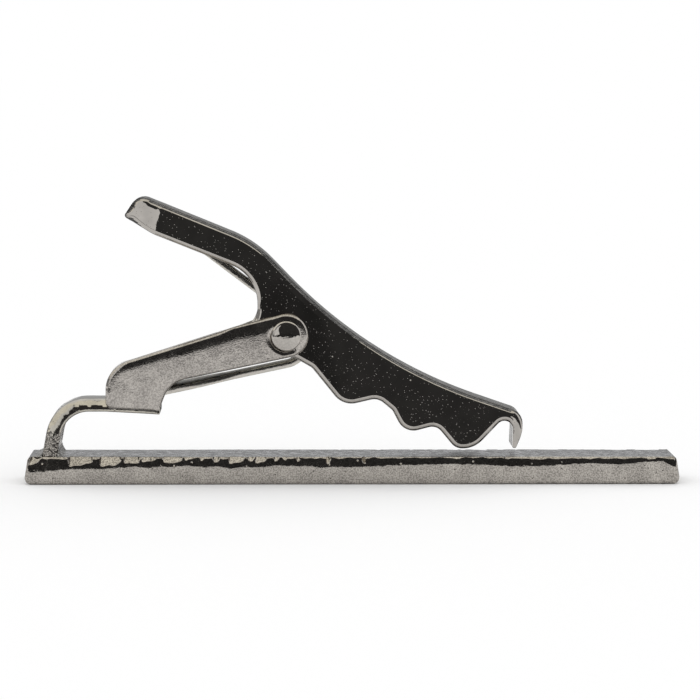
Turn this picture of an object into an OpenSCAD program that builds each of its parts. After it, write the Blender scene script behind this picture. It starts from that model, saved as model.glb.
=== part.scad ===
// A tie clip that lies with the front of its bar down.
// A curved post is soldered to the rear of the bar and carries the clip frame on its tongue.
// A jaw lever turns on a rivet in the frame, and a leaf spring bent round the rivet closes it.
// X runs along the bar, Y across it, Z up from the bar's front face.

/* [Bar] */
// Length of the bar
bar_l = 55; // [45:0.5:65]
// Width of the bar
bar_w = 5.5; // [5.3:0.1:7]
// Thickness of the bar
bar_t = 2.3; // [1.8:0.1:3]
// Rounding of each end towards the rear face
bar_rear_r = 0.4; // [0.2:0.05:0.6]
// Rounding of each end towards the front face
bar_front_r = 0.6; // [0.3:0.05:0.9]
// Radius that leans the long sides in at the rear face
bar_side_r = 1; // [0.6:0.1:1.1]
// Rounding of the long edges of the front face
bar_edge_r = 0.25; // [0.1:0.05:0.5]

/* [Post] */
// Thickness of the post's leg
leg_t = 1.24; // [0.8:0.02:1.5]
// Thickness of the tongue that the post ends in
tongue_t = 1.04; // [0.8:0.02:1.3]
// Radius of the hollow side of the post's bend
post_bend_r = 2.35; // [1.5:0.05:2.6]
// Lean of the post towards the clip, in degrees
post_lean = 10; // [0:1:15]
// Height of the tongue's underside above the bar's rear face
post_rise = 3.75; // [3.4:0.05:5]
// Distance from the bar's end to the hollow side of the post's foot
foot_inset = 2.71; // [2.5:0.01:4]
// Distance from the post's inner corner to the frame's left edge
post_reach = 3.44; // [3:0.02:4.6]
// Length of the tongue inside the frame
tongue_l = 4.5; // [3.5:0.1:4.9]
// Slope of the tongue down to its end, in degrees
tongue_droop = 3; // [0:0.5:4]

/* [Solder] */
// Length of the solder on the bar outside the post's foot
outer_solder_l = 1; // [0.4:0.05:1.3]
// Height of the solder on the post's outer face
outer_solder_h = 0.45; // [0.2:0.05:0.8]
// Length of the solder on the bar inside the post's foot
inner_solder_l = 0.65; // [0.3:0.05:1.2]
// Height of the solder on the post's inner face
inner_solder_h = 0.75; // [0.3:0.05:1]
// Length of the solder on top of the tongue, inside the frame
tongue_solder_l = 1.1; // [0.5:0.1:1.5]
// Height of the solder on top of the tongue
tongue_solder_h = 0.5; // [0.2:0.05:0.7]

/* [Clip frame] */
// Width of the frame over its two cheeks
frame_w = 5.7; // [5.5:0.1:6]
// Thickness of the frame's sheet metal
frame_sheet = 0.45; // [0.35:0.05:0.5]
// Distance from the frame's left edge to the pivot
arm_l = 15.1; // [14:0.1:17]
// Height of the pivot above the tongue's underside
pivot_rise = 6.45; // [5.9:0.05:7.2]
// Radius of the eye round the pivot
eye_r = 1.85; // [1.6:0.05:2]
// Height of tongue that shows below the frame's lobe
tongue_show = 0.37; // [0.2:0.01:0.5]
// Length of the lobe's lower edge
lobe_l = 4.45; // [4:0.05:4.7]

/* [Jaw lever] */
// Gap between each cheek of the lever and the frame's cheek beside it
lever_side_gap = 0.2; // [0.1:0.05:0.4]
// Thickness of the lever's sheet metal
lever_sheet = 0.75; // [0.6:0.05:0.8]
// Distance from the pivot to the outer face of the hook
jaw_l = 19.88; // [18:0.1:24]
// Gap between the jaw and the bar at rest
jaw_gap = 0.65; // [0.4:0.05:1]
// Distance from the pivot to the end of the thumb tab
tab_l = 13.58; // [12.5:0.1:16]
// Height of the thumb tab's top corner above the pivot
tab_h = 11.75; // [11:0.1:14]
// Gap between the ears' lugs and the frame's top wall, where the jaw stops
stop_gap = 0.06; // [0.04:0.01:0.12]

/* [Leaf spring] */
// Thickness of the spring
spring_t = 0.5; // [0.3:0.02:0.6]
// Radius of the spring's bend along its middle
spring_bend_r = 2.1; // [1.8:0.05:2.3]
// Gap between the spring's edges and the lever's cheeks
spring_side_gap = 0.1; // [0.05:0.01:0.2]
// Gap between the edges of the spring's wide lower leg and the frame's cheeks
spring_foot_gap = 0.1; // [0.05:0.01:0.3]

/* [Rivet] */
// Radius of the rivet's shank
rivet_r = 0.8; // [0.6:0.05:0.95]
// Radius of the rivet's heads
head_r = 1.25; // [1.15:0.05:1.5]
// Height of the rim of each head
head_rim_h = 0.12; // [0.05:0.01:0.2]
// Height of the dome on each head
head_dome_h = 0.26; // [0.15:0.01:0.35]
// Running gap between the shank and the lever's bores
running_gap = 0.04; // [0.02:0.01:0.08]

/* [Hidden] */

// Largest turn between two points of a round stretch, in degrees
arc_step = 15;
// How far the straight piece between two points may cut inside its arc
arc_sag = 0.008;
// Slope at which the bar's leaning side meets the rear face, in degrees
side_lean = 50;
// How much of a side the roundings at its two ends may take up together
side_share = 0.98;
// How far cuts run past what they cut
overrun = 2;
// Gap at what is pressed or soldered together
joint_gap = 0.02;
// Gap between the spring's ends and what they press on
touch_gap = 0.03;
// Number of sides in which curves are drawn
round_fn = 64;

// Places along the bar and above it
rear_z = bar_t;
foot_inner_x = foot_inset - bar_l / 2;
foot_outer_x = foot_inner_x - leg_t / cos(post_lean);
tongue_z = rear_z + post_rise;
tongue_top_z = tongue_z + tongue_t;
post_corner_x = foot_inner_x + post_rise * tan(post_lean);
lobe_x = post_corner_x + post_reach;
pivot = [lobe_x + arm_l, tongue_z + pivot_rise];

// Widths that follow from one another
frame_inner_w = frame_w - 2 * frame_sheet;
lever_w = frame_inner_w - 2 * lever_side_gap;
lever_inner_w = lever_w - 2 * lever_sheet;
post_w = frame_inner_w - 2 * joint_gap;
spring_w = lever_inner_w - 2 * spring_side_gap;
spring_foot_w = frame_inner_w - 2 * spring_foot_gap;

// Roundings of the frame
lobe_toe_r = 0.55;
lobe_heel_r = 0.12;
lobe_shoulder_r = 2.3;
neck_r = 2.4;

// Places on the frame, as shares of arm_l along X and pivot_rise along Z
neck_share = [0.355, 0.3935];
shoulder_share = 0.5555;
wall_foot_share = 0.332;
wall_end_share = 0.287;

// Roundings of the lever
hook_tip_r = 0.12;
hook_bend_r = 1.5;
hook_shoulder_r = 1.2;
jaw_back_r = 40;
tab_back_r = 10;
nose_r = 1.15;
nose_edge_r = 0.25;
tab_edge_r = 4;
throat_r = 3.5;
lug_root_r = 2.2;
lug_tip_r = 0.3;
ear_r = 1.2;
tooth_roundings = [1, 1.8, 1.2, 0.6, 1.45, 1, 0.5, 2.3];
hook_arch_r = 0.72;

// Places on the jaw, as shares of jaw_l along X and the jaw's drop along Z, measured from the pivot
hook_outer_shares = [[0.971, -0.997], [0.989, -0.909], [1, -0.832]];
jaw_back_shares = [[1, -0.69], [0.352, -0.226]];
tooth_shares = [
    [0.108, -0.285], [0.24, -0.623], [0.386, -0.554], [0.448, -0.66],
    [0.5, -0.866], [0.634, -0.795], [0.716, -1], [0.795, -1]
];
hook_arch_share = -0.64;
hook_inner_share = [0.956, -0.995];

// Places on the thumb tab, as shares of tab_l along X and tab_h along Z, measured from the pivot
tab_back_share = [-0.194, 0.664];
nose_shares = [[-0.911, 1], [-1, 0.844]];
tab_edge_share = [-0.822, 0.721];
throat_share = [-0.177, 0.426];

// Places on the lever's ears, as shares of eye_r measured from the pivot
ear_shares = [[-2.43, -0.62], [-1.3, -0.92], [0.373, -1.027]];
// How far the lugs reach under the frame's top wall, as a share of eye_r
lug_grip_share = 0.3;

// Places on the leaf spring
spring_foot_share = 0.553;
spring_bend_share = [0.233, -0.167];
spring_tip_share = 0.8;
// Where the lower leg starts and ends its narrowing, as shares of eye_r from the pivot towards the foot
spring_taper_shares = [4.4, 2.15];

function unit(v) = v / norm(v);
function turn_left(v) = [-v.y, v.x];
function scaled(share, sizes) = [share.x * sizes.x, share.y * sizes.y];
function bearing(v) = atan2(v.y, v.x);
function reversed(list) = [for (i = [len(list) - 1:-1:0]) list[i]];
function between(a, b, share) = a + (b - a) * share;

// Points of an arc from one bearing to another
function arc_points(centre, radius, from, to) =
    let (
        step = radius > arc_sag ? min(arc_step, 2 * acos(1 - arc_sag / radius)) : arc_step,
        steps = max(1, ceil(abs(to - from) / step))
    )
    [for (i = [0:steps]) let (a = from + (to - from) * i / steps) centre + radius * [cos(a), sin(a)]];

// How far an arc of some radius reaches from a corner along its sides
function arc_reach(before, corner, after, radius) =
    radius / tan(acos(unit(before - corner) * unit(after - corner)) / 2);

// The arc that takes the place of one corner
function corner_points(before, corner, after, reach) =
    let (
        back = unit(before - corner),
        on = unit(after - corner),
        half = acos(back * on) / 2,
        centre = corner + unit(back + on) * reach / cos(half),
        from = bearing(corner + back * reach - centre),
        to = bearing(corner + on * reach - centre),
        sweep = (to - from + 540) % 360 - 180
    )
    reach <= 0 ? [corner] : arc_points(centre, reach * tan(half), from, from + sweep);

// A closed outline with each corner rounded by its own radius, less where a side is too short for both its arcs
function rounded(points, radii) =
    let (
        n = len(points),
        before = [for (i = [0:n - 1]) points[(i + n - 1) % n]],
        after = [for (i = [0:n - 1]) points[(i + 1) % n]],
        reach = [for (i = [0:n - 1]) radii[i] == 0 ? 0 : arc_reach(before[i], points[i], after[i], radii[i])],
        fit = [for (i = [0:n - 1])
            let (taken = reach[i] + reach[(i + 1) % n], side = side_share * norm(after[i] - points[i]))
            taken > side ? side / taken : 1]
    )
    [for (i = [0:n - 1]) each corner_points(before[i], points[i], after[i], reach[i] * min(fit[i], fit[(i + n - 1) % n]))];

// A path moved sideways, to its left, by a distance
function shifted(path, distance) =
    let (n = len(path))
    [for (i = [0:n - 1])
        let (
            into = unit(path[max(i, 1)] - path[max(i, 1) - 1]),
            out = unit(path[min(i, n - 2) + 1] - path[min(i, n - 2)]),
            side = unit(turn_left(into) + turn_left(out))
        )
        path[i] + side * distance / (side * turn_left(into))];

// The outline of a strip that lies to both sides of a path
function strip(path, thickness) = concat(shifted(path, thickness / 2), reversed(shifted(path, -thickness / 2)));

// Where the line from a point touches a circle, on its left (side 1) or its right (side -1)
function touch_bearing(point, centre, radius, side) =
    bearing(point - centre) - side * acos(radius / norm(point - centre));

// The hollow curve of a solder fillet between two legs of a corner
function fillet_points(start, corner, end) =
    [for (i = [0:4]) let (s = i / 4) (1 - s) * (1 - s) * start + 2 * s * (1 - s) * corner + s * s * end];

// The frame's outline: its lobe, its arm and the eye round the pivot
lobe_low_z = tongue_z + tongue_show;
lobe_toe = [lobe_x, lobe_low_z];
lobe_heel = [lobe_x + lobe_l, lobe_low_z - lobe_l * tan(tongue_droop)];
neck = [lobe_x, tongue_z] + scaled(neck_share, [arm_l, pivot_rise]);
shoulder = [lobe_x, tongue_z + shoulder_share * pivot_rise];
eye_under = touch_bearing(neck, pivot, eye_r, -1);
eye_over = touch_bearing(shoulder, pivot, eye_r, 1);
eye_points = arc_points(pivot, eye_r, eye_under, eye_over < eye_under ? eye_over + 360 : eye_over);
eye_end = len(eye_points) - 1;
top_slope = (eye_points[eye_end].y - shoulder.y) / (eye_points[eye_end].x - shoulder.x);
frame_outline = concat(
    rounded(
        [eye_points[eye_end], shoulder, lobe_toe, lobe_heel, neck, eye_points[0]],
        [0, lobe_shoulder_r, lobe_toe_r, lobe_heel_r, neck_r, 0]
    ),
    [for (i = [1:eye_end - 1]) eye_points[i]]
);

// Height of the frame's top line at a place along X
function top_z(x) = shoulder.y + (x - shoulder.x) * top_slope;

// The top wall, from its end near the lever round the lobe's shoulder and down the left edge
wall_end_x = pivot.x - wall_end_share * arm_l;
wall_foot_z = tongue_z + wall_foot_share * pivot_rise;
wall_path = rounded([[wall_end_x, top_z(wall_end_x)], shoulder, [lobe_x, wall_foot_z]], [0, lobe_shoulder_r, 0]);
frame_hollow = concat(
    shifted(wall_path, frame_sheet),
    [
        [lobe_x - overrun, wall_foot_z],
        [lobe_x - overrun, rear_z],
        [pivot.x + eye_r + overrun, rear_z],
        [pivot.x + eye_r + overrun, pivot.y + eye_r + overrun],
        [wall_end_x, pivot.y + eye_r + overrun]
    ]
);

// The lever's outline: hook, back, thumb tab, ears and the three teeth of the jaw
jaw_drop = pivot.y - rear_z - jaw_gap;
jaw_sizes = [jaw_l, jaw_drop];
tab_sizes = [tab_l, tab_h];
hook_outer = [for (s = hook_outer_shares) pivot + scaled(s, jaw_sizes)];
jaw_back = [for (s = jaw_back_shares) pivot + scaled(s, jaw_sizes)];
tab_back = pivot + scaled(tab_back_share, tab_sizes);
nose = [for (s = nose_shares) pivot + scaled(s, tab_sizes)];
tab_edge = pivot + scaled(tab_edge_share, tab_sizes);
throat = pivot + scaled(throat_share, tab_sizes);
lug_drop = (frame_sheet + stop_gap) / cos(atan(top_slope));
lug_root = [throat.x, top_z(throat.x) - lug_drop];
lug_tip_x = wall_end_x - lug_grip_share * eye_r;
lug_tip = [lug_tip_x, top_z(lug_tip_x) - lug_drop];
ears = [for (s = ear_shares) pivot + s * eye_r];
teeth = [for (s = tooth_shares) pivot + scaled(s, jaw_sizes)];
hook_inner_x = pivot.x + jaw_l - lever_sheet;
hook_arch = [hook_inner_x, pivot.y + hook_arch_share * jaw_drop];
hook_inner = pivot + scaled(hook_inner_share, jaw_sizes);
lever_outline = rounded(
    concat(hook_outer, jaw_back, [tab_back], nose, [tab_edge, throat, lug_root, lug_tip], ears, teeth,
        [hook_arch, hook_inner]),
    concat([hook_tip_r, hook_bend_r, hook_bend_r, hook_shoulder_r, jaw_back_r, tab_back_r, nose_r, nose_edge_r],
        [tab_edge_r, throat_r, lug_root_r, lug_tip_r, lug_tip_r, ear_r, ear_r], tooth_roundings,
        [hook_arch_r, hook_tip_r])
);

// The hollow of the lever's channel, left open below and closed by its back, nose and hook
nose_run = nose[1] + unit(nose[1] - nose[0]) * overrun;
hollow_low_z = rear_z - overrun;
back_path = rounded(
    concat([[pivot.x + jaw_l, hollow_low_z]], jaw_back, [tab_back, nose[0], nose_run]),
    [0, hook_shoulder_r, jaw_back_r, tab_back_r, nose_r, 0]
);
inner_path = shifted(back_path, lever_sheet);
lever_hollow = concat(inner_path, [[inner_path[len(inner_path) - 1].x, hollow_low_z]]);

// The post's outline: its hollow side from the foot to the tongue's end, and its outer side back again
tongue_end = [lobe_x + tongue_l, tongue_z - tongue_l * tan(tongue_droop)];
outer_bend_r = post_bend_r + tongue_t;
post_outline = concat(
    rounded(
        [[foot_inner_x, rear_z], [post_corner_x, tongue_z], [lobe_x, tongue_z], tongue_end],
        [0, post_bend_r, 0, 0]
    ),
    rounded(
        [
            tongue_end + tongue_t * [sin(tongue_droop), cos(tongue_droop)],
            [lobe_x, tongue_top_z],
            [foot_outer_x + (post_rise + tongue_t) * tan(post_lean), tongue_top_z],
            [foot_outer_x, rear_z]
        ],
        [0, 0, outer_bend_r, 0]
    )
);

// The spring's path: up from the tongue, round the rivet and back under the thumb tab
spring_foot_x = lobe_x + spring_foot_share * tongue_l;
spring_foot_z = tongue_top_z + touch_gap + spring_t / 2 - (spring_foot_x - lobe_x) * tan(tongue_droop);
spring_corner = pivot + scaled(spring_bend_share, jaw_sizes);
tab_line = unit(nose[0] - tab_back);
spring_tip = between(tab_back, nose[0], spring_tip_share)
    + turn_left(tab_line) * (lever_sheet + touch_gap + spring_t / 2);
spring_path = rounded([[spring_foot_x, spring_foot_z], spring_corner, spring_tip], [0, spring_bend_r, 0]);
leg_slope = (spring_corner.y - spring_foot_z) / (spring_corner.x - spring_foot_x);
taper_x = [for (s = spring_taper_shares) pivot.x - s * eye_r];
lower_leg = [
    [spring_foot_x, spring_foot_z],
    [taper_x[1], spring_foot_z + (taper_x[1] - spring_foot_x) * leg_slope]
];

// Turns a flat outline in X and Z into a solid of a given width, centred on the clip's middle plane
module across(width) {
    rotate([90, 0, 0]) linear_extrude(height = width, center = true) children();
}

// A round bore or shank along the pivot's axis
module pivot_cylinder(radius, width) {
    translate([pivot.x, 0, pivot.y])
        rotate([90, 0, 0])
            cylinder(h = width, r = radius, center = true, $fn = round_fn);
}

// The bar: a solid cast strip with rounded ends, whose sides lean in at the rear face
module bar() {
    half_l = bar_l / 2;
    half_w = bar_w / 2;
    side = arc_points([half_w - bar_side_r, bar_t - bar_side_r * sin(side_lean)], bar_side_r, 0, side_lean);
    section = concat(
        arc_points([half_w - bar_edge_r, bar_edge_r], bar_edge_r, -90, 0),
        side,
        [for (p = reversed(side)) [-p.x, p.y]],
        arc_points([bar_edge_r - half_w, bar_edge_r], bar_edge_r, 180, 270)
    );
    color("dimgray")
        intersection() {
            across(bar_w + overrun)
                polygon(rounded(
                    [[-half_l, 0], [half_l, 0], [half_l, bar_t], [-half_l, bar_t]],
                    [bar_front_r, bar_front_r, bar_rear_r, bar_rear_r]
                ));
            rotate([90, 0, 90])
                linear_extrude(height = bar_l + overrun, center = true)
                    polygon(section);
        }
}

// The post: a leg that rises from the bar and bends over into the frame's tongue
module post() {
    color("gray") across(post_w) polygon(post_outline);
}

// Solder fillets along both sides of the post's foot
module foot_solder() {
    outer_foot = [foot_outer_x, rear_z];
    inner_foot = [foot_inner_x, rear_z];
    outer_top = outer_foot + outer_solder_h * [tan(post_lean), 1];
    inner_top = inner_foot + inner_solder_h * [tan(post_lean), 1];
    color("darkgray") {
        across(post_w)
            polygon(concat(
                [outer_foot],
                fillet_points(outer_top, outer_foot, outer_foot - [outer_solder_l, 0])
            ));
        across(post_w)
            polygon(concat(
                [inner_foot],
                fillet_points(inner_foot + [inner_solder_l, 0], inner_foot, inner_top)
            ));
    }
}

// The frame: a stamped channel whose cheeks carry the rivet and whose lobe holds the tongue
module clip_frame() {
    color("gray")
        difference() {
            across(frame_w) polygon(frame_outline);
            across(frame_inner_w) polygon(frame_hollow);
            pivot_cylinder(rivet_r + joint_gap, frame_w + overrun);
        }
}

// Solder that fills the corner on top of the tongue, between the frame's cheeks
module frame_solder() {
    top_left = [lobe_x, tongue_top_z];
    color("darkgray")
        across(frame_inner_w - 2 * joint_gap)
            polygon(concat(
                [top_left],
                fillet_points(
                    top_left + tongue_solder_l * [cos(tongue_droop), -sin(tongue_droop)],
                    top_left + tongue_solder_h / 2 * [1, 1],
                    top_left + [0, tongue_solder_h]
                )
            ));
}

// The leaf spring: one strip bent into a U round the rivet, whose lower leg widens to fill the frame
module leaf_spring() {
    half_foot = spring_foot_w / 2;
    half_strip = spring_w / 2;
    start_x = spring_foot_x - overrun;
    color("silver") {
        across(spring_w) polygon(strip(spring_path, spring_t));
        intersection() {
            across(spring_foot_w) polygon(strip(lower_leg, spring_t));
            linear_extrude(height = pivot.y)
                polygon([
                    [start_x, -half_foot], [taper_x[0], -half_foot], [taper_x[1], -half_strip],
                    [taper_x[1], half_strip], [taper_x[0], half_foot], [start_x, half_foot]
                ]);
        }
    }
}

// The jaw lever: a stamped channel with a hook, three teeth, two ears and a thumb tab
module lever() {
    color([0.2, 0.2, 0.2])
        difference() {
            across(lever_w) polygon(lever_outline);
            across(lever_inner_w) polygon(lever_hollow);
            pivot_cylinder(rivet_r + running_gap, lever_w + overrun);
        }
}

// One domed head, from its rim up
module rivet_head() {
    dome_r = (head_r * head_r + head_dome_h * head_dome_h) / (2 * head_dome_h);
    dome_centre_z = head_rim_h + head_dome_h - dome_r;
    edge = asin(head_r / dome_r);
    rotate_extrude($fn = round_fn)
        polygon(concat(
            [[0, 0], [head_r, 0]],
            [for (i = [0:6]) let (a = edge * (1 - i / 6)) [dome_r * sin(a), dome_centre_z + dome_r * cos(a)]]
        ));
}

// The rivet: a shank through both cheeks with a domed head on each side
module rivet() {
    color("gray") {
        pivot_cylinder(rivet_r, frame_w);
        for (side = [-1, 1])
            translate([pivot.x, side * frame_w / 2, pivot.y])
                rotate([-90 * side, 0, 0])
                    rivet_head();
    }
}

bar();
post();
foot_solder();
clip_frame();
frame_solder();
leaf_spring();
lever();
rivet();
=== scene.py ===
import math

import bmesh
import bpy
import numpy as np
from mathutils import Matrix, Vector
from mathutils.geometry import delaunay_2d_cdt
from mathutils.noise import noise as uneven


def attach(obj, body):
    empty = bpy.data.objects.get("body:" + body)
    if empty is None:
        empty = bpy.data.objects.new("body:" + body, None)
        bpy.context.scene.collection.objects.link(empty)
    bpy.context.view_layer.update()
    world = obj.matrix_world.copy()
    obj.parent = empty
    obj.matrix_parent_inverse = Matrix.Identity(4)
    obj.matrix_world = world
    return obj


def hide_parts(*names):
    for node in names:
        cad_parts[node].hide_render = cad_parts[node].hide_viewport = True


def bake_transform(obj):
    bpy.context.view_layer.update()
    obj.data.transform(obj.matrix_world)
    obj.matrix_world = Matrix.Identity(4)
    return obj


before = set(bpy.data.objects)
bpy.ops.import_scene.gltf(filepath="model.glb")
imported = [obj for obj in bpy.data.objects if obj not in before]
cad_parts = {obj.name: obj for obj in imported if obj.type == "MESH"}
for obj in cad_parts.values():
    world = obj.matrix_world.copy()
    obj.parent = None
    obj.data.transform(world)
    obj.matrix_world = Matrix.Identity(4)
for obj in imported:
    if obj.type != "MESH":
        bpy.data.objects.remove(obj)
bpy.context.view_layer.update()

# Bar
# The bar is one solid strip of cast metal, polished and plated in black nickel.
# Its front face lies down; its long sides roll in towards the rear face.
# The rear face keeps the fine crossing marks of the belt it was ground on; the light streaks in its colour
# are partly those marks' own tone and partly painted glints along them.
MM = 0.001
BAR_LENGTH = 55.0
BAR_WIDTH = 5.5
BAR_THICKNESS = 2.3
BAR_PLAN_CORNER = 0.3
BAR_REAR_ROLL = 0.07
BAR_REAR_ROLL_FROM = 0.35
BAR_EDGE_SPACING = 0.1
BAR_FACE_SPACING = 0.6
SIDE_SHARE = 0.98
SHOULDER = [
    (-27.5, 1.3), (-26.7, 1.35), (-24.5, 1.14), (-23.5, 1.04), (-21.2, 1.08), (-18.3, 0.83), (-17.2, 0.98),
    (-16.4, 0.83), (-15.0, 0.88), (-14.0, 0.74), (-12.75, 0.88), (-11.2, 0.83), (-10.4, 1.02), (-9.3, 0.88),
    (-8.1, 0.93), (-6.3, 0.73), (-4.5, 0.83), (-3.8, 0.78), (-2.6, 0.97), (-1.9, 0.88), (0.7, 0.9),
    (2.8, 0.76), (8.0, 0.63), (10.5, 0.68), (13.5, 0.84), (16.0, 0.82), (17.5, 0.7), (20.0, 0.56),
    (22.5, 0.68), (25.0, 0.42), (26.1, 0.38), (27.0, 0.85), (27.5, 0.95),
]
SHOULDER_RAGGED = (0.45, 0.09)
SHOULDER_STEPS = 18
SHOULDER_ROLL_STEPS = 3
FLANK_POWER = 3
FAR_SHOULDER = -0.9
ROUND_SIDE = [(0.0, 0), (0.08, 4), (0.3, 14), (1.0, 26)]
FACET_LEAN = 41
FACET_RAGGED = (0.7, 0.22)
FACET_LINE = [(-27.5, 0.12), (12.0, 0.12), (16.0, 0.26), (27.5, 0.26)]
FACETS = [
    (-27.6, -26.2, 0.6, 0.25), (-23.85, -21.8, 0.78, 0.62), (-21.2, -19.45, 0.7, 0.68),
    (-19.2, -17.9, 0.68, 0.62), (-17.7, -16.55, 0.4, 0.3), (-15.95, -14.35, 0.58, 0.5),
    (-14.1, -13.8, 0.35, 0.35), (-12.8, -12.5, 0.45, 0.4), (-11.75, -11.2, 0.75, 0.7),
    (-10.4, -9.15, 0.85, 0.35), (-8.8, -8.35, 0.6, 0.5), (-8.2, -7.3, 0.85, 0.4), (-6.65, -6.2, 0.55, 0.4),
    (-5.9, -5.55, 0.45, 0.45), (-4.75, -4.45, 0.5, 0.5), (-2.25, -1.9, 0.7, 0.7), (0.8, 1.05, 0.65, 0.65),
    (24.7, 25.5, 0.5, 0.5),
]
FACET_SOFT = 0.09
FACET_BLEND = 0.06
BAR_FOOT_ROLL = 0.25
BAR_END_ROLL = 0.1
BAR_END_REAR_ROUND = 0.3
BAR_END_FRONT_ROUND = 0.55
BAR_END_LEAN = 0.28
BAR_END_LEAN_FROM = 0.6
BAR_END_LEAN_RUN = 2
BAR_COLOUR = (0.505, 0.473, 0.43)
BAR_SHADE_COLOUR = (0.205, 0.19, 0.173)
GROUND_AND_GLINT_COLOUR = (0.64, 0.64, 0.65)
GROUND_SHADE_COLOUR = (0.2, 0.2, 0.204)
GROUND_MARKS = [(0.14, 0.04, 24), (0.4, 0.06, 32)]
GROUND_FACES_UP = 0.97
GROUND_WITHIN = 0.1


def left_of(v):
    return Vector((-v.y, v.x))


def rounded(corners, closed=True, sag=0.002, widest_turn=8):
    """Points of an outline of (x, y, radius) corners, each radius cut down where its sides are short."""
    points = [Vector(c[:2]) for c in corners]
    count = len(points)
    reach = []
    for i, (point, corner) in enumerate(zip(points, corners)):
        if corner[2] == 0 or (not closed and i in (0, count - 1)):
            reach.append(0.0)
            continue
        back = (points[i - 1] - point).normalized()
        ahead = (points[(i + 1) % count] - point).normalized()
        reach.append(corner[2] / math.tan(back.angle(ahead) / 2))
    fit = []
    for i in range(count):
        taken = reach[i] + reach[(i + 1) % count]
        side = SIDE_SHARE * (points[(i + 1) % count] - points[i]).length
        fit.append(side / taken if taken > side else 1.0)
    line = []
    for i, point in enumerate(points):
        length = reach[i] * min(fit[i], fit[i - 1])
        if length <= 0:
            line.append(point)
            continue
        back = (points[i - 1] - point).normalized()
        ahead = (points[(i + 1) % count] - point).normalized()
        half = back.angle(ahead) / 2
        radius = length * math.tan(half)
        centre = point + (back + ahead).normalized() * length / math.cos(half)
        start = point + back * length - centre
        end = point + ahead * length - centre
        sweep = math.atan2(start.x * end.y - start.y * end.x, start.dot(end))
        step = min(math.radians(widest_turn), 2 * math.acos(max(0.0, 1 - sag / radius)))
        steps = max(1, math.ceil(abs(sweep) / step))
        for k in range(steps + 1):
            turn = Matrix.Rotation(sweep * k / steps, 2)
            line.append(centre + turn @ start)
    return line


def even(line, spacing, closed=True):
    """The same line with a point at least every spacing millimetres."""
    result = []
    for i, point in enumerate(line):
        if not closed and i == len(line) - 1:
            result.append(point)
            break
        ahead = line[(i + 1) % len(line)]
        run = (ahead - point).length
        if run < 1e-4:
            continue
        parts = max(1, math.ceil(run / spacing))
        result.extend(point.lerp(ahead, k / parts) for k in range(parts))
    return result


def inward(loop):
    """Unit directions into a loop that runs anticlockwise."""
    count = len(loop)
    directions = []
    for i in range(count):
        into = (loop[i] - loop[i - 1]).normalized()
        out = (loop[(i + 1) % count] - loop[i]).normalized()
        directions.append(left_of((into + out).normalized()))
    return directions


def bridge(mesh, ring, other, closed=True):
    """Faces between two rings of equal length."""
    count = len(ring)
    for i in range(count if closed else count - 1):
        j = (i + 1) % count
        corners = []
        for vert in (ring[i], ring[j], other[j], other[i]):
            if vert not in corners:
                corners.append(vert)
        if len(corners) > 2 and mesh.faces.get(corners) is None:
            mesh.faces.new(corners)


def rolled_rings(mesh, loop, profiles, place):
    """Rings from a loop's edge to its face; a profile gives each point's (step inward, drop)."""
    into = inward(loop)
    rings = []
    for k in range(len(profiles[0])):
        flat = [p + n * profile[k][0] for p, n, profile in zip(loop, into, profiles)]
        ring = [mesh.verts.new(place(p, profile[k][1])) for p, profile in zip(flat, profiles)]
        if rings:
            bridge(mesh, rings[-1], ring)
        rings.append(ring)
    return rings, flat


ROW_PITCH = 0.866
EDGE_CLEARANCE = 0.55
HOLE_STEPS = 48


def fill(mesh, ring, flat, place, spacing, hole=None):
    """The face inside a ring, filled with evenly spread points so that it can be shaped."""
    low = Vector((min(p.x for p in flat), min(p.y for p in flat)))
    high = Vector((max(p.x for p in flat), max(p.y for p in flat)))
    outline = np.array([p[:] for p in flat])
    following = np.roll(outline, -1, axis=0)
    run = following - outline
    climb = np.where(run[:, 1] == 0, 1e-12, run[:, 1])
    points = [p.copy() for p in flat]
    edges = []
    row = 0
    y = low.y + spacing / 2
    while y < high.y:
        x = low.x + spacing * (0.25 + 0.5 * (row % 2))
        while x < high.x:
            spot = np.array((x, y))
            spans = (outline[:, 1] > y) != (following[:, 1] > y)
            crosses = spans & (x < run[:, 0] * (y - outline[:, 1]) / climb + outline[:, 0])
            if crosses.sum() % 2:
                share = np.clip(((spot - outline) * run).sum(1) / np.maximum((run * run).sum(1), 1e-12), 0, 1)
                gap = np.hypot(*(outline + run * share[:, None] - spot).T).min()
                clear = hole is None or (Vector((x, y)) - hole[0]).length > hole[1] + spacing / 2
                if gap > spacing * EDGE_CLEARANCE and clear:
                    points.append(Vector((x, y)))
            x += spacing
        y += spacing * ROW_PITCH
        row += 1
    verts = list(ring) + [mesh.verts.new(place(p, 0)) for p in points[len(flat):]]
    hole_ring = []
    if hole:
        first = len(points)
        for k in range(HOLE_STEPS):
            turn = math.tau * k / HOLE_STEPS
            spot = hole[0] + hole[1] * Vector((math.cos(turn), math.sin(turn)))
            points.append(spot)
            hole_ring.append(mesh.verts.new(place(spot, 0)))
            edges.append((first + k, first + (k + 1) % HOLE_STEPS))
        verts += hole_ring
    found = delaunay_2d_cdt(points, edges, [list(range(len(flat)))], 1, 1e-7)
    for triangle in found[2]:
        sources = [found[3][v][0] if found[3][v] else None for v in triangle]
        if None in sources or len(set(sources)) < 3:
            continue
        if hole:
            middle = sum((points[s] for s in sources), Vector((0, 0))) / 3
            if (middle - hole[0]).length < hole[1]:
                continue
        mesh.faces.new([verts[s] for s in sources])
    return hole_ring


WELD = 1e-4
SLIVER = 1e-5


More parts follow.
